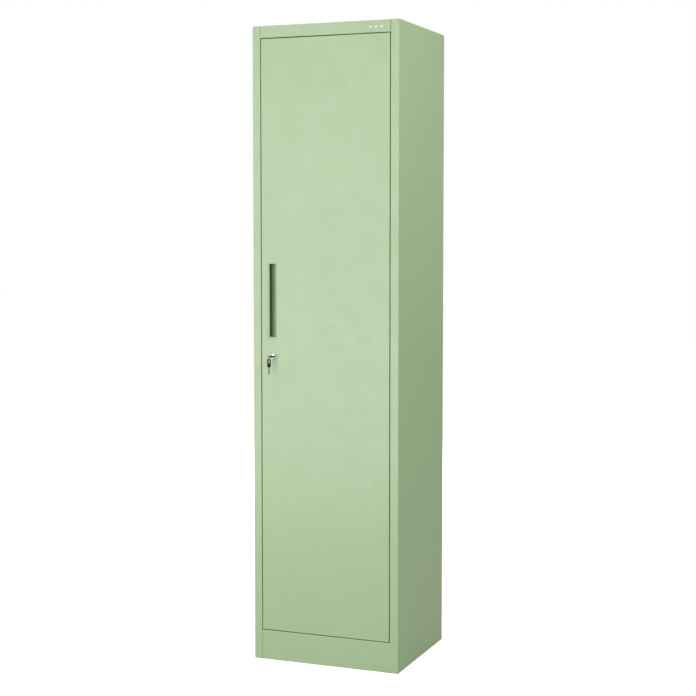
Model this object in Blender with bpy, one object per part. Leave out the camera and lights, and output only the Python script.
"""School locker: a tall folded-steel cabinet with one inset door.

The door turns on a fixed bottom pin and a sprung top bolt at its right-hand edge. It
has a recessed pull and a cam lock with its key in. A spare key hangs from the key in
the lock by a ring. Inside are a hat shelf and, under it, a coat rail with two hooks.

Frame: X to the right, Y to the back, Z up, in metres. The origin is on the floor, in
the middle of the whole object's box, keys included.
"""

import math

import bmesh
import bpy
from mathutils import Matrix, Vector

# Cabinet
WIDTH = 0.450
DEPTH = 0.400
HEIGHT = 1.850

# Sheet metal
SHEET = 0.0010
BEND = 0.0018  # outside radius of a folded corner
BEND_STEPS = 3
SEAM = 0.0005  # joint between a stile and the rail or the plinth
TOUCH = 0.0003  # clearance where two pieces meet
REAR_FLANGE = 0.020
FOOT_FLANGE = 0.020
REAR_DROP = 0.015
WALL_HOLE_RADIUS = 0.0035
WALL_HOLE_DROP = 0.090
WALL_HOLE_SPACING = 0.300

# Front frame
LATCH_STILE = 0.0240
HINGE_STILE = 0.0255
TOP_RAIL = 0.0350
PLINTH = 0.0870
STOP_SPACE = 0.0035  # from the back of the door to the stop lips
LATCH_STOP = 0.0140
HINGE_LIP = 0.0120
TOP_STOP = 0.0120
FLOOR_STEP = 0.0120

# Door
DOOR_GAP = 0.0022
DOOR_DEPTH = 0.0180
DOOR_SHEET = 0.0010
DOOR_LIP = 0.0120
DOOR_EDGE = 0.0012  # rounding of the front edges
CHANNEL_WIDTH = 0.050
CHANNEL_FLANGE = 0.014
CHANNEL_END = 0.040

# Hinge
PIVOT_INSET = 0.0083  # from the door's right-hand edge to the pivot
PIVOT_DEPTH = 0.0050  # from the front face to the pivot
PIN_RADIUS = 0.0022
PIN_PLAY = 0.00012  # radial running clearance of a pin in its bush
BUSH_WALL = 0.0008
BUSH_FLANGE = 0.0005
BUSH_DEPTH = 0.0080
BUSH_FLOOR = 0.0015
PLATE = 0.0015
PLATE_REACH = 0.0090
PLATE_DEPTH = 0.0120
TOP_LUGS = 0.0450
BOTTOM_LUGS = 0.0220
COLLAR_RADIUS = 0.0033
COLLAR = 0.0015
KNOB_RADIUS = 0.0034
KNOB = 0.0040
SPRING_WIRE = 0.00035
SPRING_TURNS = 9

# Recessed pull
PULL_INSET = 0.0198  # from the door's left-hand edge
PULL_WIDTH = 0.0270
PULL_LENGTH = 0.2210
PULL_BOTTOM = 0.9500
PULL_RIM = 0.0010
PULL_LIP = 0.0056  # finger lip on the left
PULL_EDGE = 0.0022  # rim on the right
PULL_END = 0.0045
PULL_WALL = 0.0012
PULL_DEPTH = 0.0135
PULL_CORNER = 0.0030

# Lock
LOCK_INSET = 0.0368
LOCK_Z = 0.8980
LOCK_FACE_RADIUS = 0.0088
LOCK_FACE = 0.0019
LOCK_BODY_RADIUS = 0.0078
LOCK_BODY = 0.0200
PLUG_RADIUS = 0.0058
PLUG_PLAY = 0.00015
KEYWAY_WIDTH = 0.0082
KEYWAY_HEIGHT = 0.0026
NUT_ACROSS = 0.0200
NUT = 0.0040
CAM_LENGTH = 0.0310
CAM_WIDTH = 0.0120
CAM = 0.0020
CAM_SETBACK = 0.0010  # from the back of the stop lip
DRIVE = 0.0060
CAM_SCREW_RADIUS = 0.0045
CAM_SCREW_HEAD = 0.0022

# Keys
KEY_REACH = 0.0280  # from the door's face to the end of the key in the lock
BOW_LENGTH = 0.0250
BOW_WIDTH = 0.0110
BOW = 0.0037
BOW_RIM = 0.0025
BOW_HOLE = 0.0110
BOW_CORNER = 0.0025
BLADE_LENGTH = 0.0210
BLADE_WIDTH = 0.0070
BLADE = 0.0019
TANG_LENGTH = 0.0060
TANG_WIDTH = 0.0050
KEY_CUTS = (0.0007, 0.0015, 0.0010, 0.0018, 0.0008)
RING_RADIUS = 0.0062
RING_WIRE = 0.0006
RING_DROP = 0.0033  # from the rim of the bow to the ring's centre
RING_SETBACK = 0.0060  # from the end of the bow to the ring
SPARE_TURN = math.radians(25)
SPARE_HANG = 0.0013  # from the ring's wire to the rim of the spare bow's hole

# Shelf, coat rail and hooks
SHELF_DROP = 0.3300  # from the top of the cabinet to the shelf
SHELF_SETBACK = 0.0400
SHELF_CLEAR = 0.0020
SHELF_EDGE = 0.0200
SHELF_HEM = 0.0100
RUNNER_DROP = 0.0180
RUNNER_LEG = 0.0160
RUNNER_END = 0.0040
RAIL_RADIUS = 0.0075
RAIL_WALL = 0.0012
RAIL_DROP = 0.0600
HANGER_INSET = 0.0300
HANGER_HALF = 0.0130
HANGER_FOOT = 0.0180
CAP_RADIUS = 0.0090
CAP = 0.0020
CAP_PLUG = 0.0080
HOOK_WIRE = 0.0019
HOOK_STEM = 0.0320
HOOK_BEND = 0.0120
HOOK_SPACING = 0.1400

# Small parts
RIVET_RADIUS = 0.0016
RIVET_HEAD_RADIUS = 0.0032
RIVET_HEAD = 0.0012
RIVET_LOW = 0.150  # from the ground to the lowest back rivets
RIVET_HIGH = 0.200  # from the top of the cabinet to the highest
RIVET_ROWS = 4
BUMPER_RADIUS = 0.0050
BUMPER_NECK = 0.0016
BUMPER_LOW = 0.300  # from the ground to the lower bumper
BUMPER_HIGH = 0.200  # from the top of the cabinet to the upper one
SEGMENTS = 32
SMALL_SEGMENTS = 20

# Places that follow from the sizes above
FRONT_Y = (KEY_REACH - DEPTH) / 2
BACK_Y = FRONT_Y + DEPTH
HALF = WIDTH / 2
OPEN_LEFT = LATCH_STILE - HALF
OPEN_RIGHT = HALF - HINGE_STILE
OPEN_LOW = PLINTH
OPEN_HIGH = HEIGHT - TOP_RAIL
DOOR_LEFT = OPEN_LEFT + DOOR_GAP
DOOR_RIGHT = OPEN_RIGHT - DOOR_GAP
DOOR_LOW = OPEN_LOW + DOOR_GAP
DOOR_HIGH = OPEN_HIGH - DOOR_GAP
DOOR_BACK = FRONT_Y + DOOR_DEPTH
STOP_Y = DOOR_BACK + STOP_SPACE
STOP_BACK = STOP_Y + SHEET
FLOOR_Z = PLINTH + FLOOR_STEP
PANEL_HALF = HALF - SHEET - TOUCH
BACK_PANEL_REAR = BACK_Y - SHEET - TOUCH
BACK_PANEL_FRONT = BACK_PANEL_REAR - SHEET
DROP_REAR = BACK_PANEL_FRONT - TOUCH
PIVOT_X = DOOR_RIGHT - PIVOT_INSET
PIVOT_Y = FRONT_Y + PIVOT_DEPTH
BORE_RADIUS = PIN_RADIUS + PIN_PLAY
BUSH_RADIUS = BORE_RADIUS + BUSH_WALL
PLATE_X = DOOR_RIGHT - DOOR_SHEET - TOUCH - PLATE / 2
TOP_LUG_Z = DOOR_HIGH - DOOR_SHEET - TOUCH - PLATE / 2
BOTTOM_LUG_Z = DOOR_LOW + DOOR_SHEET + TOUCH + PLATE / 2
LOCK_X = DOOR_LEFT + LOCK_INSET
CAM_Y = STOP_BACK + CAM_SETBACK
BOW_FRONT = FRONT_Y - KEY_REACH
RING_X = LOCK_X - (BOW_WIDTH - BOW_RIM) / 2
RING_Y = BOW_FRONT + RING_SETBACK
RING_Z = LOCK_Z - RING_DROP
SPARE_Z = RING_Z - RING_RADIUS
RAIL_Y = FRONT_Y + DEPTH / 2
SHELF_Z = HEIGHT - SHELF_DROP
RAIL_Z = SHELF_Z - RAIL_DROP
RAIL_HALF = PANEL_HALF - HANGER_INSET
RIVET_STEP = (HEIGHT - RIVET_HIGH - RIVET_LOW) / (RIVET_ROWS - 1)
RIVET_HEIGHTS = [RIVET_LOW + row * RIVET_STEP for row in range(RIVET_ROWS)]
BUMPER_HEIGHTS = (BUMPER_LOW, HEIGHT - BUMPER_HIGH)


def finish(name, colour, roughness, metallic=0.0):
    """A Principled material."""
    material = bpy.data.materials.new(name)
    material.use_nodes = True
    shader = material.node_tree.nodes["Principled BSDF"]
    shader.inputs["Base Color"].default_value = (*colour, 1.0)
    shader.inputs["Roughness"].default_value = roughness
    shader.inputs["Metallic"].default_value = metallic
    return material


def axis_at(name, place, parent=None):
    """An empty on a joint's axis, to carry the pieces that move about it."""
    empty = bpy.data.objects.new(name, None)
    bpy.context.scene.collection.objects.link(empty)
    empty.empty_display_size = 0.02
    put(empty, place, parent)
    return empty


def world_place(obj):
    """Where an unturned object stands, its parents' places added up."""
    place = Vector(obj.location)
    while obj.parent:
        obj = obj.parent
        place += obj.location
    return place


def put(obj, place, parent):
    """Place an object at a world position under its parent."""
    obj.location = Vector(place) - (world_place(parent) if parent else Vector())
    obj.parent = parent


def piece(name, shape, look, place=(0, 0, 0), parent=None):
    """A named object from a mesh in world coordinates, with its origin at `place`."""
    bmesh.ops.recalc_face_normals(shape, faces=shape.faces)
    bmesh.ops.translate(shape, verts=shape.verts, vec=-Vector(place))
    mesh = bpy.data.meshes.new(name)
    shape.to_mesh(mesh)
    shape.free()
    mesh.materials.append(look)
    mesh.shade_smooth()
    mesh.set_sharp_from_angle(angle=math.radians(35))
    obj = bpy.data.objects.new(name, mesh)
    bpy.context.scene.collection.objects.link(obj)
    put(obj, place, parent)
    return obj


def combine(obj, shape, operation, solver="EXACT"):
    """Cut a world-space mesh out of an object, or join it on."""
    number = len(obj.modifiers) + 1
    tool = piece(f"{obj.name}_tool_{number}", shape, obj.data.materials[0])
    tool.hide_render = True
    tool.display_type = "WIRE"
    modifier = obj.modifiers.new(f"{operation.lower()}_{number}", "BOOLEAN")
    modifier.operation = operation
    modifier.solver = solver
    modifier.object = tool


def cut(obj, shape, solver="EXACT"):
    combine(obj, shape, "DIFFERENCE", solver)


def join(obj, shape):
    combine(obj, shape, "UNION")


def prism(outline, axis, low, high):
    """A closed outline extruded along an axis. Its points are in the other two axes."""
    to_world = {
        "X": lambda a, b, h: (h, a, b),
        "Y": lambda a, b, h: (a, h, b),
        "Z": lambda a, b, h: (a, b, h),
    }[axis]
    shape = bmesh.new()
    corners = [shape.verts.new(to_world(a, b, low)) for a, b in outline]
    base = shape.faces.new(corners)
    raised = bmesh.ops.extrude_face_region(shape, geom=[base])["geom"]
    moved = [part for part in raised if isinstance(part, bmesh.types.BMVert)]
    bmesh.ops.translate(shape, verts=moved, vec=to_world(0, 0, high - low))
    return shape


def box(low, high):
    """A box between two corners."""
    outline = [(low[0], low[1]), (high[0], low[1]), (high[0], high[1]), (low[0], high[1])]
    return prism(outline, "Z", low[2], high[2])


def arc(centre, radius, start, end, steps):
    """Points on an arc, angles in degrees."""
    turns = [math.radians(start + (end - start) * k / steps) for k in range(steps + 1)]
    return [(centre[0] + radius * math.cos(t), centre[1] + radius * math.sin(t)) for t in turns]


def rounded(low, high, radius, steps=4):
    """A rectangle's outline with round corners."""
    centres = (
        ((high[0] - radius, high[1] - radius), 0),
        ((low[0] + radius, high[1] - radius), 90),
        ((low[0] + radius, low[1] + radius), 180),
        ((high[0] - radius, low[1] + radius), 270),
    )
    outline = []
    for centre, start in centres:
        outline += arc(centre, radius, start, start + 90, steps)
    return outline


def folded(path, sheet=SHEET, bend=BEND):
    """The closed outline of a sheet folded along the middle line `path`."""
    line = [Vector(point) for point in path]
    radius = bend - sheet / 2
    left, right = [], []
    for index, here in enumerate(line):
        ahead = (line[min(index + 1, len(line) - 1)] - here).normalized()
        behind = (here - line[max(index - 1, 0)]).normalized()
        if index in (0, len(line) - 1):
            along = ahead if index == 0 else behind
            across = Vector((-along.y, along.x)) * sheet / 2
            left.append(here + across)
            right.append(here - across)
            continue
        turn = math.atan2(behind.x * ahead.y - behind.y * ahead.x, behind.dot(ahead))
        side = 1 if turn > 0 else -1
        centre = here + (ahead - behind).normalized() * radius / math.cos(turn / 2)
        normal = Vector((-behind.y, behind.x))
        for step in range(BEND_STEPS + 1):
            spoke = Matrix.Rotation(turn * step / BEND_STEPS, 2) @ normal
            left.append(centre - spoke * (side * radius - sheet / 2))
            right.append(centre - spoke * (side * radius + sheet / 2))
    return [tuple(point) for point in left + right[::-1]]


def turned(profile, ring=False, segments=SEGMENTS):
    """A shape turned about Z from (radius, height) points: a ring has no axis points."""
    shape = bmesh.new()
    points = [shape.verts.new((radius, 0, height)) for radius, height in profile]
    edges = [shape.edges.new(pair) for pair in zip(points, points[1:])]
    if ring:
        edges.append(shape.edges.new((points[-1], points[0])))
    bmesh.ops.spin(
        shape,
        geom=points + edges,
        cent=(0, 0, 0),
        axis=(0, 0, 1),
        angle=math.tau,
        steps=segments,
        use_merge=True,
    )
    bmesh.ops.remove_doubles(shape, verts=shape.verts, dist=1e-7)
    return shape


def standing(shape, x, y, z=0.0):
    """Move a turned shape so that its axis is vertical through (x, y)."""
    shape.transform(Matrix.Translation((x, y, z)))
    return shape


def facing_back(shape, x, z, y=0.0):
    """Lay a turned shape's axis along +Y through (x, z)."""
    shape.transform(Matrix.Translation((x, y, z)) @ Matrix.Rotation(-math.pi / 2, 4, "X"))
    return shape


def facing_right(shape, y, z):
    """Lay a turned shape's axis along +X through (y, z)."""
    shape.transform(Matrix.Translation((0, y, z)) @ Matrix.Rotation(math.pi / 2, 4, "Y"))
    return shape


def rod(radius, low, high, segments=SEGMENTS):
    """A plain cylinder about Z."""
    return turned([(0, low), (radius, low), (radius, high), (0, high)], segments=segments)


def side_panel(name, side, stile, lip, look):
    """One side: stile, side sheet, rear flange and foot flange in a single folded sheet."""
    jamb_x = side * (HALF - stile + SHEET / 2)
    side_x = side * (HALF - SHEET / 2)
    path = [
        (jamb_x + lip, STOP_Y + SHEET / 2),
        (jamb_x, STOP_Y + SHEET / 2),
        (jamb_x, FRONT_Y + SHEET / 2),
        (side_x, FRONT_Y + SHEET / 2),
        (side_x, BACK_Y - SHEET / 2),
        (side * (HALF - REAR_FLANGE), BACK_Y - SHEET / 2),
    ]
    panel = piece(name, prism(folded(path), "Z", 0, HEIGHT), look)
    inner = side * (HALF - stile) - side * LATCH_STOP * 2
    outer = side * (HALF - SHEET - TOUCH)
    ends = ((-SHEET, OPEN_LOW), (OPEN_HIGH, HEIGHT + SHEET))
    for low, high in ends:
        corners = ((inner, FRONT_Y + SHEET + TOUCH / 3, low), (outer, STOP_BACK + SHEET, high))
        cut(panel, box(*spread(corners)))
    near = (side * (HALF - SHEET / 2), FRONT_Y + 2 * FOOT_FLANGE, 0)
    far = (side * (HALF - FOOT_FLANGE), BACK_Y - 2 * FOOT_FLANGE, SHEET)
    join(panel, box(*spread((near, far))))
    for height in RIVET_HEIGHTS:
        hole = rod(RIVET_RADIUS + TOUCH, -2 * SHEET, 2 * SHEET, SMALL_SEGMENTS)
        place = (side * (HALF - REAR_FLANGE / 2), height, BACK_Y)
        cut(panel, facing_back(hole, *place), solver="MANIFOLD")
    return panel


def spread(corners):
    """The lowest and highest corner of two given in any order."""
    low = tuple(min(pair) for pair in zip(*corners))
    high = tuple(max(pair) for pair in zip(*corners))
    return low, high


def latch_side(look):
    """The left-hand side, whose stop lip reaches behind the door."""
    panel = side_panel("side_panel_left", -1, LATCH_STILE, LATCH_STOP, look)
    stops = (
        (OPEN_LOW - SHEET, FLOOR_Z + TOUCH),
        (OPEN_HIGH - TOP_STOP - TOUCH, OPEN_HIGH + SHEET),
    )
    for low, high in stops:
        near = (OPEN_LEFT + SEAM / 2, STOP_Y - SHEET, low)
        cut(panel, box(near, (OPEN_LEFT + 2 * LATCH_STOP, STOP_BACK + SHEET, high)))
    for height in BUMPER_HEIGHTS:
        hole = rod(BUMPER_NECK + TOUCH, -2 * SHEET, 2 * SHEET, SMALL_SEGMENTS)
        cut(panel, facing_back(hole, bumper_x(), height, STOP_Y))


def bumper_x():
    return OPEN_LEFT + LATCH_STOP / 2 + SHEET / 2


def trim_corners(panel, low, high, y_high):
    """Cut a cross panel back at both front corners, where the stiles stand."""
    edges = ((-HALF, OPEN_LEFT + SEAM), (OPEN_RIGHT - SEAM, HALF))
    for x_low, x_high in edges:
        cut(panel, box((x_low, FRONT_Y - SHEET, low), (x_high, y_high, high)))


def top_panel(look):
    """Top sheet with its front rail, the return over the door and the stop lip."""
    low, high, rear = OPEN_HIGH + SHEET / 2, HEIGHT - SHEET / 2, DROP_REAR - SHEET / 2
    path = [
        (STOP_Y + SHEET / 2, OPEN_HIGH - TOP_STOP),
        (STOP_Y + SHEET / 2, low),
        (FRONT_Y + SHEET / 2, low),
        (FRONT_Y + SHEET / 2, high),
        (rear, high),
        (rear, high - REAR_DROP),
    ]
    panel = piece("top_panel", prism(folded(path), "X", -PANEL_HALF, PANEL_HALF), look)
    trim_corners(panel, OPEN_HIGH - 2 * TOP_STOP, HEIGHT - 2 * SHEET, STOP_BACK + SHEET)
    trim_corners(panel, HEIGHT - 3 * SHEET, HEIGHT + SHEET, FRONT_Y + SHEET + TOUCH)
    hole = rod(BUSH_RADIUS + TOUCH, OPEN_HIGH - SHEET, OPEN_HIGH + 2 * SHEET)
    cut(panel, standing(hole, PIVOT_X, PIVOT_Y))


def floor_panel(look):
    """Plinth, sill under the door, step and floor in one folded sheet."""
    sill, rear = PLINTH - SHEET / 2, DROP_REAR - SHEET / 2
    path = [
        (FRONT_Y + FOOT_FLANGE, SHEET / 2),
        (FRONT_Y + SHEET / 2, SHEET / 2),
        (FRONT_Y + SHEET / 2, sill),
        (STOP_Y + SHEET / 2, sill),
        (STOP_Y + SHEET / 2, FLOOR_Z - SHEET / 2),
        (rear, FLOOR_Z - SHEET / 2),
        (rear, FLOOR_Z - REAR_DROP),
    ]
    panel = piece("floor_panel", prism(folded(path), "X", -PANEL_HALF, PANEL_HALF), look)
    trim_corners(panel, -SHEET, FLOOR_Z + SHEET, STOP_BACK + TOUCH)
    hole = rod(BUSH_RADIUS + TOUCH, PLINTH - 2 * SHEET, PLINTH + SHEET)
    cut(panel, standing(hole, PIVOT_X, PIVOT_Y))


def back_panel(look):
    """The back sheet, inside the rear flanges, with two holes for fixing to a wall."""
    low = (-PANEL_HALF, BACK_PANEL_FRONT, 0)
    panel = piece("back_panel", box(low, (PANEL_HALF, BACK_PANEL_REAR, HEIGHT)), look)
    for side in (-1, 1):
        hole = rod(WALL_HOLE_RADIUS, -2 * SHEET, 2 * SHEET, SMALL_SEGMENTS)
        place = (side * WALL_HOLE_SPACING / 2, HEIGHT - WALL_HOLE_DROP, BACK_PANEL_FRONT)
        cut(panel, facing_back(hole, *place))
        for height in RIVET_HEIGHTS:
            hole = rod(RIVET_RADIUS + TOUCH, -2 * SHEET, 2 * SHEET, SMALL_SEGMENTS)
            rivet_x = side * (HALF - REAR_FLANGE / 2)
            cut(panel, facing_back(hole, rivet_x, height, BACK_PANEL_FRONT))


def rivet(name, x, z, look):
    """A back rivet: its head is inside, and its tail is flush with the rear flange."""
    head = BACK_PANEL_FRONT - TOUCH
    tail = BACK_Y - TOUCH / 2
    dome = arc((0, head), RIVET_HEAD, 270, 360, 3)
    reach = RIVET_HEAD_RADIUS / RIVET_HEAD
    profile = [(radius * reach, height) for radius, height in dome]
    profile += [(RIVET_RADIUS, head), (RIVET_RADIUS, tail), (0, tail)]
    profile[0] = (0, profile[0][1])
    shape = turned(profile, segments=SMALL_SEGMENTS)
    piece(name, facing_back(shape, x, z), look, (x, head, z))


def rivets(look):
    for side, word in ((-1, "left"), (1, "right")):
        for number, height in enumerate(RIVET_HEIGHTS, 1):
            x = side * (HALF - REAR_FLANGE / 2)
            rivet(f"back_rivet_{word}_{number}", x, height, look)


def bumpers(look):
    """Rubber buttons, pushed through the stop lip, that the door closes on."""
    front = DOOR_BACK + TOUCH
    pad, back = STOP_Y - TOUCH, STOP_BACK + TOUCH
    tip = back + BUMPER_NECK
    for number, height in enumerate(BUMPER_HEIGHTS, 1):
        profile = [
            (0, front),
            (BUMPER_RADIUS * 0.8, front),
            (BUMPER_RADIUS, front + STOP_SPACE * 0.3),
            (BUMPER_RADIUS, pad),
            (BUMPER_NECK, pad),
            (BUMPER_NECK, back),
            (BUMPER_NECK * 1.5, back),
            (BUMPER_NECK, tip),
            (0, tip),
        ]
        shape = facing_back(turned(profile, segments=SMALL_SEGMENTS), bumper_x(), height)
        piece(f"door_bumper_{number}", shape, look, (bumper_x(), STOP_Y, height))


def hinge_bushes(look):
    """Nylon bushes: the top one is open, the bottom one has a floor that carries the door."""
    flange = BUSH_RADIUS + BUSH_FLANGE
    low, high = OPEN_HIGH, OPEN_HIGH + BUSH_DEPTH
    seat = OPEN_HIGH + SHEET + TOUCH
    top = [
        (BORE_RADIUS, low),
        (BUSH_RADIUS, low),
        (BUSH_RADIUS, seat),
        (flange, seat),
        (flange, seat + BUSH_WALL),
        (BUSH_RADIUS, seat + BUSH_WALL),
        (BUSH_RADIUS, high),
        (BORE_RADIUS, high),
    ]
    shape = standing(turned(top, ring=True), PIVOT_X, PIVOT_Y)
    piece("top_hinge_bush", shape, look, (PIVOT_X, PIVOT_Y, low))
    seat = PLINTH - SHEET - TOUCH
    bottom = PLINTH - BUSH_DEPTH
    profile = [
        (0, bottom + BUSH_FLOOR),
        (BORE_RADIUS, bottom + BUSH_FLOOR),
        (BORE_RADIUS, PLINTH),
        (BUSH_RADIUS, PLINTH),
        (BUSH_RADIUS, seat),
        (flange, seat),
        (flange, seat - BUSH_WALL),
        (BUSH_RADIUS, seat - BUSH_WALL),
        (BUSH_RADIUS, bottom),
        (0, bottom),
    ]
    shape = standing(turned(profile), PIVOT_X, PIVOT_Y)
    piece("bottom_hinge_bush", shape, look, (PIVOT_X, PIVOT_Y, bottom))


def door_skin(look, door):
    """The door's folded pan: front face, four edges and a lip round the back."""
    low = (DOOR_LEFT, FRONT_Y, DOOR_LOW)
    high = (DOOR_RIGHT, DOOR_BACK, DOOR_HIGH)
    shape = box(low, high)
    front = [
        edge
        for edge in shape.edges
        if all(abs(vert.co.y - FRONT_Y) < TOUCH for vert in edge.verts)
    ]
    bmesh.ops.bevel(shape, geom=front, offset=DOOR_EDGE, segments=3, affect="EDGES", profile=0.5)
    skin = piece("door_skin", shape, look, (PIVOT_X, PIVOT_Y, 0), door)
    wall = DOOR_SHEET
    inside = (DOOR_LEFT + wall, FRONT_Y + wall, DOOR_LOW + wall)
    cut(skin, box(inside, (DOOR_RIGHT - wall, DOOR_BACK - wall, DOOR_HIGH - wall)))
    lip = DOOR_LIP
    mouth = (DOOR_LEFT + lip, DOOR_BACK - 2 * wall, DOOR_LOW + lip)
    cut(skin, box(mouth, (DOOR_RIGHT - lip, DOOR_BACK + wall, DOOR_HIGH - lip)))
    hole = rod(LOCK_BODY_RADIUS + TOUCH, -wall, 2 * wall)
    cut(skin, facing_back(hole, LOCK_X, LOCK_Z, FRONT_Y))
    left, bottom, right, top = pull_body(TOUCH)
    outline = rounded((left, bottom), (right, top), PULL_CORNER - PULL_WALL + TOUCH)
    cut(skin, prism(outline, "Y", FRONT_Y - wall, FRONT_Y + 2 * wall))
    for edge_z in (DOOR_LOW, DOOR_HIGH):
        hole = rod(PIN_RADIUS + 2 * TOUCH, edge_z - 2 * wall, edge_z + 2 * wall)
        cut(skin, standing(hole, PIVOT_X, PIVOT_Y))


def stiffener(look, door):
    """A hat-section channel up the middle of the door."""
    middle = (DOOR_LEFT + DOOR_RIGHT) / 2
    flange_y = FRONT_Y + DOOR_SHEET + TOUCH + SHEET / 2
    crown_y = DOOR_BACK - DOOR_SHEET - TOUCH - SHEET / 2
    foot = CHANNEL_WIDTH / 2 + CHANNEL_FLANGE
    path = [
        (middle - foot, flange_y),
        (middle - CHANNEL_WIDTH / 2, flange_y),
        (middle - CHANNEL_WIDTH / 2, crown_y),
        (middle + CHANNEL_WIDTH / 2, crown_y),
        (middle + CHANNEL_WIDTH / 2, flange_y),
        (middle + foot, flange_y),
    ]
    shape = prism(folded(path), "Z", DOOR_LOW + CHANNEL_END, DOOR_HIGH - CHANNEL_END)
    piece("door_stiffener", shape, look, (middle, flange_y, DOOR_LOW), door)


def hinge_plate(name, outer, inner, look, door):
    """A channel in the corner of the door, whose two lugs carry a pin."""
    path = [
        (PIVOT_X - PLATE_REACH, outer),
        (PLATE_X, outer),
        (PLATE_X, inner),
        (PIVOT_X - PLATE_REACH, inner),
    ]
    near = FRONT_Y + DOOR_SHEET + TOUCH
    outline = folded(path, PLATE, BEND + PLATE / 2)
    plate = piece(name, prism(outline, "Y", near, near + PLATE_DEPTH), look, (0, 0, 0), door)
    for lug in (outer, inner):
        hole = rod(PIN_RADIUS + TOUCH, lug - PLATE, lug + PLATE, SMALL_SEGMENTS)
        cut(plate, standing(hole, PIVOT_X, PIVOT_Y))


def hinge_pin(look, door):
    """The fixed bottom pin, with a head over the plate's upper lug."""
    tip = PLINTH - BUSH_DEPTH + BUSH_FLOOR + TOUCH
    lug_top = BOTTOM_LUG_Z + BOTTOM_LUGS + PLATE / 2 + TOUCH
    profile = [
        (0, tip),
        (PIN_RADIUS * 0.7, tip),
        (PIN_RADIUS, tip + PIN_RADIUS * 0.4),
        (PIN_RADIUS, lug_top),
        (COLLAR_RADIUS, lug_top),
        (COLLAR_RADIUS, lug_top + COLLAR),
        (0, lug_top + COLLAR),
    ]
    shape = standing(turned(profile), PIVOT_X, PIVOT_Y)
    piece("bottom_hinge_pin", shape, look, (PIVOT_X, PIVOT_Y, tip), door)


def hinge_bolt(look, door):
    """The sprung top bolt: pulled down by its knob, it frees the door."""
    tip = OPEN_HIGH + BUSH_DEPTH
    collar_top = TOP_LUG_Z - PLATE / 2 - TOUCH
    knob_top = TOP_LUG_Z - TOP_LUGS - PLATE / 2 - TOUCH
    profile = [
        (0, knob_top - KNOB),
        (KNOB_RADIUS, knob_top - KNOB),
        (KNOB_RADIUS, knob_top),
        (PIN_RADIUS, knob_top),
        (PIN_RADIUS, collar_top - COLLAR),
        (COLLAR_RADIUS, collar_top - COLLAR),
        (COLLAR_RADIUS, collar_top),
        (PIN_RADIUS, collar_top),
        (PIN_RADIUS, tip - PIN_RADIUS * 0.4),
        (PIN_RADIUS * 0.7, tip),
        (0, tip),
    ]
    carrier = axis_at("hinge_bolt_axis", (PIVOT_X, PIVOT_Y, tip), door)
    shape = standing(turned(profile), PIVOT_X, PIVOT_Y)
    piece("top_hinge_bolt", shape, look, (PIVOT_X, PIVOT_Y, tip), carrier)


def hinge_spring(look, door):
    """The coil spring between the lower lug and the bolt's collar."""
    low = TOP_LUG_Z - TOP_LUGS + PLATE / 2 + TOUCH + SPRING_WIRE
    high = TOP_LUG_Z - PLATE / 2 - TOUCH - COLLAR - TOUCH - SPRING_WIRE
    radius = PIN_RADIUS + TOUCH + SPRING_WIRE
    points = []
    count = SPRING_TURNS * 12
    for step in range(count + 1):
        turn = math.tau * step / 12
        height = low + (high - low) * step / count
        points.append((radius * math.cos(turn), radius * math.sin(turn), height - low))
    base = (PIVOT_X, PIVOT_Y, low)
    wire("top_hinge_spring", points, SPRING_WIRE, look, base, door, sides=0)


def wire(name, points, radius, look, place, parent, sides=2):
    """A round wire along points that are measured from `place`."""
    curve = bpy.data.curves.new(name, "CURVE")
    curve.dimensions = "3D"
    curve.bevel_depth = radius
    curve.bevel_resolution = sides
    curve.use_fill_caps = True
    spline = curve.splines.new("POLY")
    spline.points.add(len(points) - 1)
    for knot, point in zip(spline.points, points):
        knot.co = (*point, 1.0)
    curve.materials.append(look)
    obj = bpy.data.objects.new(name, curve)
    bpy.context.scene.collection.objects.link(obj)
    put(obj, place, parent)
    return obj


def pull_rim():
    """Left, bottom, right and top of the recessed pull's rim."""
    left = DOOR_LEFT + PULL_INSET
    return left, PULL_BOTTOM, left + PULL_WIDTH, PULL_BOTTOM + PULL_LENGTH


def pull_body(clear=0.0):
    """The same for its cup, which passes through the door."""
    left, bottom, right, top = pull_rim()
    inset = PULL_WALL - clear
    return left + inset, bottom + inset, right - inset, top - inset


def recessed_pull(look, door):
    """A moulded cup with a rim, whose left-hand side is a lip for the fingers."""
    left, bottom, right, top = pull_rim()
    face = FRONT_Y - TOUCH
    outline = rounded((left, bottom), (right, top), PULL_CORNER)
    shape = prism(outline, "Y", face - PULL_RIM, face)
    pull = piece("recessed_pull", shape, look, (left, FRONT_Y, bottom), door)
    inner_left, inner_bottom, inner_right, inner_top = pull_body()
    corner = PULL_CORNER - PULL_WALL
    body = rounded((inner_left, inner_bottom), (inner_right, inner_top), corner)
    floor = FRONT_Y + PULL_DEPTH
    join(pull, prism(body, "Y", face - PULL_RIM / 2, floor))
    wall = PULL_WALL
    hollow = rounded(
        (inner_left + wall, inner_bottom + wall), (inner_right - wall, inner_top - wall), corner / 2
    )
    cut(pull, prism(hollow, "Y", face + PULL_RIM, floor - wall))
    slot = rounded(
        (left + PULL_LIP, bottom + PULL_END), (right - PULL_EDGE - PULL_WALL / 2, top - PULL_END), corner
    )
    cut(pull, prism(slot, "Y", face - 2 * PULL_RIM, face + 2 * PULL_RIM))


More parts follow.
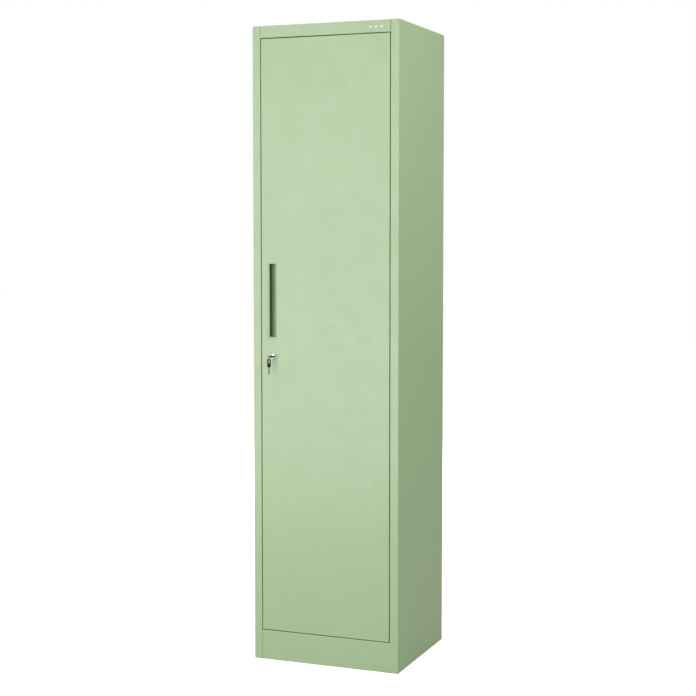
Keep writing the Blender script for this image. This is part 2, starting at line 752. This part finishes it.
def lock_housing(look, door):
    """The lock's barrel and its round face."""
    face = FRONT_Y - TOUCH
    bore = PLUG_RADIUS + PLUG_PLAY
    back = FRONT_Y + LOCK_BODY
    profile = [
        (bore, face - LOCK_FACE),
        (LOCK_FACE_RADIUS * 0.86, face - LOCK_FACE),
        (LOCK_FACE_RADIUS, face - LOCK_FACE * 0.55),
        (LOCK_FACE_RADIUS, face),
        (LOCK_BODY_RADIUS, face),
        (LOCK_BODY_RADIUS, back),
        (bore, back),
    ]
    shape = facing_back(turned(profile, ring=True), LOCK_X, LOCK_Z)
    piece("lock_housing", shape, look, (LOCK_X, FRONT_Y, LOCK_Z), door)


def lock_nut(look, door):
    """The hexagon nut that clamps the lock to the door."""
    low = FRONT_Y + DOOR_SHEET + TOUCH
    centre = (LOCK_X, LOCK_Z)
    outline = arc(centre, NUT_ACROSS / math.sqrt(3), 30, 330, 5)
    nut = piece("lock_nut", prism(outline, "Y", low, low + NUT), look, (LOCK_X, low, LOCK_Z), door)
    hole = rod(LOCK_BODY_RADIUS + TOUCH, -NUT, 2 * NUT)
    cut(nut, facing_back(hole, LOCK_X, LOCK_Z, low))


def lock_plug(look, lock):
    """The turning plug: keyway in front, square drive for the cam behind."""
    face = FRONT_Y - TOUCH - LOCK_FACE
    shoulder = CAM_Y - TOUCH
    end = CAM_Y + CAM
    shape = rod(PLUG_RADIUS, face, shoulder)
    plug = piece("lock_plug", facing_back(shape, LOCK_X, LOCK_Z), look, (LOCK_X, face, LOCK_Z), lock)
    half = DRIVE / 2
    low = (LOCK_X - half, shoulder - SHEET, LOCK_Z - half)
    join(plug, box(low, (LOCK_X + half, end, LOCK_Z + half)))
    half_width, half_height = KEYWAY_WIDTH / 2, KEYWAY_HEIGHT / 2
    near = (LOCK_X - half_width, face - SHEET, LOCK_Z - half_height)
    depth = BLADE_LENGTH - (KEY_REACH - BOW_LENGTH) + 2 * TOUCH
    cut(plug, box(near, (LOCK_X + half_width, FRONT_Y + depth, LOCK_Z + half_height)))


def lock_cam(look, lock):
    """The cam, which points up when the lock is open and left when it is shut."""
    half = CAM_WIDTH / 2
    tip = LOCK_Z + CAM_LENGTH
    corner = half / 2
    outline = arc((LOCK_X, LOCK_Z), half, 180, 360, 12)
    outline += arc((LOCK_X + corner, tip - corner), corner, 0, 90, 4)
    outline += arc((LOCK_X - corner, tip - corner), corner, 90, 180, 4)
    shape = prism(outline, "Y", CAM_Y, CAM_Y + CAM)
    cam = piece("lock_cam", shape, look, (LOCK_X, CAM_Y, LOCK_Z), lock)
    hole = DRIVE / 2 + TOUCH
    low = (LOCK_X - hole, CAM_Y - CAM, LOCK_Z - hole)
    cut(cam, box(low, (LOCK_X + hole, CAM_Y + 2 * CAM, LOCK_Z + hole)))


def cam_screw(look, lock):
    """The screw that holds the cam on the plug."""
    seat = CAM_Y + CAM + TOUCH
    top = seat + CAM_SCREW_HEAD
    profile = [
        (0, seat),
        (CAM_SCREW_RADIUS, seat),
        (CAM_SCREW_RADIUS, seat + CAM_SCREW_HEAD / 2),
        (CAM_SCREW_RADIUS * 0.75, top),
        (0, top),
    ]
    screw = facing_back(turned(profile), LOCK_X, LOCK_Z)
    head = piece("cam_screw", screw, look, (LOCK_X, seat, LOCK_Z), lock)
    slot = CAM_SCREW_RADIUS / 8
    low = (LOCK_X - 2 * CAM_SCREW_RADIUS, seat + CAM_SCREW_HEAD / 2, LOCK_Z - slot)
    cut(head, box(low, (LOCK_X + 2 * CAM_SCREW_RADIUS, top + SHEET, LOCK_Z + slot)))


def key_frame_in_lock():
    """Key space to world: key +X runs from the bow's end to the tip, +Y is its width."""
    turn = Matrix(((0, -1, 0), (1, 0, 0), (0, 0, 1))).to_4x4()
    return Matrix.Translation((LOCK_X, BOW_FRONT, LOCK_Z)) @ turn


def key_frame_hanging():
    """The same for the spare key, whose bow hangs on the bottom of the ring."""
    down = Vector((0, 0, -1))
    normal = Vector((-math.cos(SPARE_TURN), math.sin(SPARE_TURN), 0))
    width = normal.cross(down)
    turn = Matrix((down, width, normal)).transposed().to_4x4()
    top = SPARE_Z + SPARE_HANG + BOW_RIM
    return Matrix.Translation((RING_X, RING_Y, top)) @ turn


def key_bow(name, frame, look, place, parent):
    """A moulded bow with a long hole, and a pocket for the blade's tang."""
    half = BOW_WIDTH / 2
    outline = arc((half, 0), half, 90, 270, 12)
    outline += arc((BOW_LENGTH - BOW_CORNER, BOW_CORNER - half), BOW_CORNER, 270, 360, 3)
    outline += arc((BOW_LENGTH - BOW_CORNER, half - BOW_CORNER), BOW_CORNER, 0, 90, 3)
    shape = prism(outline, "Z", -BOW / 2, BOW / 2)
    shape.transform(frame)
    bow = piece(name, shape, look, place, parent)
    inner = half - BOW_RIM
    hole = arc((half, 0), inner, 90, 270, 10)
    hole += arc((BOW_RIM + BOW_HOLE - inner, 0), inner, -90, 90, 10)
    shape = prism(hole, "Z", -BOW, BOW)
    shape.transform(frame)
    cut(bow, shape)
    wide, high = TANG_WIDTH / 2 + TOUCH, BLADE / 2 + TOUCH
    pocket = box((BOW_LENGTH - TANG_LENGTH - TOUCH, -wide, -high), (BOW_LENGTH + BOW, wide, high))
    pocket.transform(frame)
    cut(bow, pocket)


def key_blade(name, frame, look, place, parent):
    """A flat steel blade with its cuts on one edge."""
    root = BOW_LENGTH + TOUCH
    tip = BOW_LENGTH + BLADE_LENGTH
    tang, half = TANG_WIDTH / 2, BLADE_WIDTH / 2
    start = BOW_LENGTH - TANG_LENGTH
    pitch = BLADE_LENGTH / (len(KEY_CUTS) + 2)
    outline = [(start, tang), (start, -tang), (root, -tang), (root, -half)]
    outline += [(tip - half, -half), (tip, -half / 3), (tip - half / 2, half / 2)]
    for number, depth in enumerate(KEY_CUTS, 1):
        middle = tip - pitch * (number + 0.3)
        outline += [(middle + pitch / 2, half), (middle + pitch / 6, half - depth)]
        outline += [(middle - pitch / 6, half - depth)]
    outline += [(middle - pitch / 2, half), (root, half), (root, tang)]
    shape = prism(outline, "Z", -BLADE / 2, BLADE / 2)
    shape.transform(frame)
    piece(name, shape, look, place, parent)


def keys(steel, plastic, lock):
    """The key in the lock, the ring on its bow and the spare key on the ring."""
    held = axis_at("key_axis", (LOCK_X, BOW_FRONT, LOCK_Z), lock)
    frame = key_frame_in_lock()
    key_bow("key_bow", frame, plastic, (LOCK_X, BOW_FRONT, LOCK_Z), held)
    key_blade("key_blade", frame, steel, (LOCK_X, BOW_FRONT, LOCK_Z), held)
    ring_axis = axis_at("key_ring_axis", (RING_X, RING_Y, LOCK_Z), held)
    section = arc((RING_RADIUS, 0), RING_WIRE, 0, 315, 7)
    ring = facing_back(turned(section, ring=True, segments=36), RING_X, RING_Z, RING_Y)
    piece("key_ring", ring, steel, (RING_X, RING_Y, LOCK_Z), ring_axis)
    spare_axis = axis_at("spare_key_axis", (RING_X, RING_Y, SPARE_Z), ring_axis)
    frame = key_frame_hanging()
    key_bow("spare_key_bow", frame, plastic, (RING_X, RING_Y, SPARE_Z), spare_axis)
    key_blade("spare_key_blade", frame, steel, (RING_X, RING_Y, SPARE_Z), spare_axis)


def shelf_runners(look):
    """Angles, spot-welded inside the sides, that the hat shelf rests on."""
    top = SHELF_Z - SHEET - TOUCH - SHEET / 2
    near = FRONT_Y + SHELF_SETBACK + SHELF_HEM + SHELF_CLEAR
    far = DROP_REAR - SHELF_CLEAR - SHEET - RUNNER_END
    for side, word in ((-1, "left"), (1, "right")):
        leg = side * (PANEL_HALF - SHEET / 2)
        path = [(leg, top - RUNNER_DROP), (leg, top), (leg - side * RUNNER_LEG, top)]
        shape = prism(folded(path), "Y", near, far)
        piece(f"shelf_runner_{word}", shape, look, (leg, near, top))


def hat_shelf(look, shelf):
    """The loose shelf, hemmed in front and folded down behind."""
    top = SHELF_Z - SHEET / 2
    near = FRONT_Y + SHELF_SETBACK + SHEET / 2
    far = DROP_REAR - SHELF_CLEAR - SHEET / 2
    path = [
        (near + SHELF_HEM, top - SHELF_EDGE),
        (near, top - SHELF_EDGE),
        (near, top),
        (far, top),
        (far, top - REAR_DROP),
    ]
    half = HALF - SHEET - SHELF_CLEAR
    body = piece("hat_shelf", prism(folded(path), "X", -half, half), look, (0, near, SHELF_Z), shelf)
    for side in (-1, 1):
        for y in (-1, 1):
            hole = rod(RIVET_RADIUS + TOUCH, SHELF_Z - 2 * SHEET, SHELF_Z + SHEET, SMALL_SEGMENTS)
            cut(body, standing(hole, *hanger_rivet_place(side, y)))


def hanger_rivet_place(side, front):
    foot = side * (RAIL_HALF - PLATE - HANGER_FOOT / 2)
    return foot, RAIL_Y + front * HANGER_HALF * 0.6


def rail_hanger(name, side, look, shelf):
    """A strap under the shelf with an eye for the coat rail."""
    top = SHELF_Z - SHEET - TOUCH
    outline = arc((RAIL_Y, RAIL_Z), HANGER_HALF, 180, 360, 14)
    outline += [(RAIL_Y + HANGER_HALF, top), (RAIL_Y - HANGER_HALF, top)]
    outer, inner = side * RAIL_HALF, side * (RAIL_HALF - PLATE)
    low, high = min(outer, inner), max(outer, inner)
    hanger = piece(name, prism(outline, "X", low, high), look, (outer, RAIL_Y, RAIL_Z), shelf)
    foot = side * (RAIL_HALF - PLATE - HANGER_FOOT)
    corners = (
        (side * (RAIL_HALF - PLATE / 3), RAIL_Y - HANGER_HALF * 0.99, top - PLATE),
        (foot, RAIL_Y + HANGER_HALF * 0.99, top - PLATE * 0.01),
    )
    join(hanger, box(*spread(corners)))
    eye = rod(RAIL_RADIUS + TOUCH, low - PLATE, high + PLATE)
    cut(hanger, facing_right(eye, RAIL_Y, RAIL_Z))
    for front in (-1, 1):
        hole = rod(RIVET_RADIUS + TOUCH, top - 2 * PLATE, top + PLATE, SMALL_SEGMENTS)
        cut(hanger, standing(hole, *hanger_rivet_place(side, front)))


def hanger_rivets(look, shelf):
    """Rivets through the shelf and the straps' feet."""
    low, high = SHELF_Z - SHEET - TOUCH - PLATE - TOUCH, SHELF_Z + TOUCH
    profile = [
        (0, low - RIVET_HEAD),
        (RIVET_HEAD_RADIUS * 0.7, low - RIVET_HEAD * 0.7),
        (RIVET_HEAD_RADIUS, low),
        (RIVET_RADIUS, low),
        (RIVET_RADIUS, high),
        (RIVET_HEAD_RADIUS * 0.8, high),
        (RIVET_HEAD_RADIUS * 0.5, high + RIVET_HEAD),
        (0, high + RIVET_HEAD),
    ]
    for side, word in ((-1, "left"), (1, "right")):
        for front, number in ((-1, 1), (1, 2)):
            x, y = hanger_rivet_place(side, front)
            shape = standing(turned(profile, segments=SMALL_SEGMENTS), x, y)
            piece(f"hanger_rivet_{word}_{number}", shape, look, (x, y, SHELF_Z), shelf)


def coat_rail(steel, plastic, shelf):
    """The tube and the caps in its ends."""
    end = RAIL_HALF + PLATE
    bore = RAIL_RADIUS - RAIL_WALL
    profile = [(bore, -end), (RAIL_RADIUS, -end), (RAIL_RADIUS, end), (bore, end)]
    tube = facing_right(turned(profile, ring=True), RAIL_Y, RAIL_Z)
    piece("coat_rail", tube, steel, (0, RAIL_Y, RAIL_Z), shelf)
    for side, word in ((-1, "left"), (1, "right")):
        face, plug = end + TOUCH, end - CAP_PLUG
        profile = [
            (0, plug),
            (bore - TOUCH, plug),
            (bore - TOUCH, face),
            (CAP_RADIUS, face),
            (CAP_RADIUS, face + CAP / 2),
            (CAP_RADIUS - CAP / 2, face + CAP),
            (0, face + CAP),
        ]
        shape = turned([(radius, side * height) for radius, height in profile])
        cap = facing_right(shape, RAIL_Y, RAIL_Z)
        piece(f"rail_cap_{word}", cap, plastic, (side * end, RAIL_Y, RAIL_Z), shelf)


def coat_hooks(look, shelf):
    """Two wire hooks that slide along the rail."""
    bend = RAIL_RADIUS + TOUCH + HOOK_WIRE
    top = [(y, z) for y, z in arc((0, 0), bend, 200, 0, 14)]
    low = [(y, z) for y, z in arc((bend - HOOK_BEND, -HOOK_STEM), HOOK_BEND, 0, -200, 14)]
    for number, side in enumerate((-1, 1), 1):
        place = (side * HOOK_SPACING / 2, RAIL_Y, RAIL_Z)
        carrier = axis_at(f"coat_hook_{number}_axis", place, shelf)
        points = [(0, y, z) for y, z in top + low]
        wire(f"coat_hook_{number}", points, HOOK_WIRE, look, place, carrier)


def clear_scene():
    for obj in list(bpy.data.objects):
        bpy.data.objects.remove(obj)


def main():
    clear_scene()
    paint = finish("sage_powder_coat", (0.50, 0.62, 0.42), 0.45)
    dark = finish("recess_plastic", (0.44, 0.55, 0.37), 0.50)
    zinc = finish("zinc_plate", (0.62, 0.62, 0.60), 0.35, 1.0)
    chrome = finish("chrome", (0.80, 0.80, 0.80), 0.12, 1.0)
    nylon = finish("nylon", (0.80, 0.80, 0.76), 0.50)
    rubber = finish("rubber", (0.03, 0.03, 0.03), 0.80)
    black = finish("black_plastic", (0.02, 0.02, 0.02), 0.40)

    latch_side(paint)
    side_panel("side_panel_right", 1, HINGE_STILE, HINGE_LIP, paint)
    top_panel(paint)
    floor_panel(paint)
    back_panel(paint)
    rivets(zinc)
    bumpers(rubber)
    hinge_bushes(nylon)
    shelf_runners(paint)

    door = axis_at("door_axis", (PIVOT_X, PIVOT_Y, 0))
    door_skin(paint, door)
    stiffener(paint, door)
    hinge_plate("top_hinge_plate", TOP_LUG_Z, TOP_LUG_Z - TOP_LUGS, zinc, door)
    hinge_plate("bottom_hinge_plate", BOTTOM_LUG_Z, BOTTOM_LUG_Z + BOTTOM_LUGS, zinc, door)
    hinge_pin(zinc, door)
    hinge_bolt(zinc, door)
    hinge_spring(zinc, door)
    recessed_pull(dark, door)
    lock_housing(chrome, door)
    lock_nut(zinc, door)

    lock = axis_at("lock_axis", (LOCK_X, FRONT_Y, LOCK_Z), door)
    lock_plug(chrome, lock)
    lock_cam(zinc, lock)
    cam_screw(zinc, lock)
    keys(zinc, black, lock)

    shelf = axis_at("shelf_axis", (0, RAIL_Y, SHELF_Z))
    hat_shelf(paint, shelf)
    rail_hanger("rail_hanger_left", -1, zinc, shelf)
    rail_hanger("rail_hanger_right", 1, zinc, shelf)
    hanger_rivets(zinc, shelf)
    coat_rail(zinc, black, shelf)
    coat_hooks(zinc, shelf)


main()
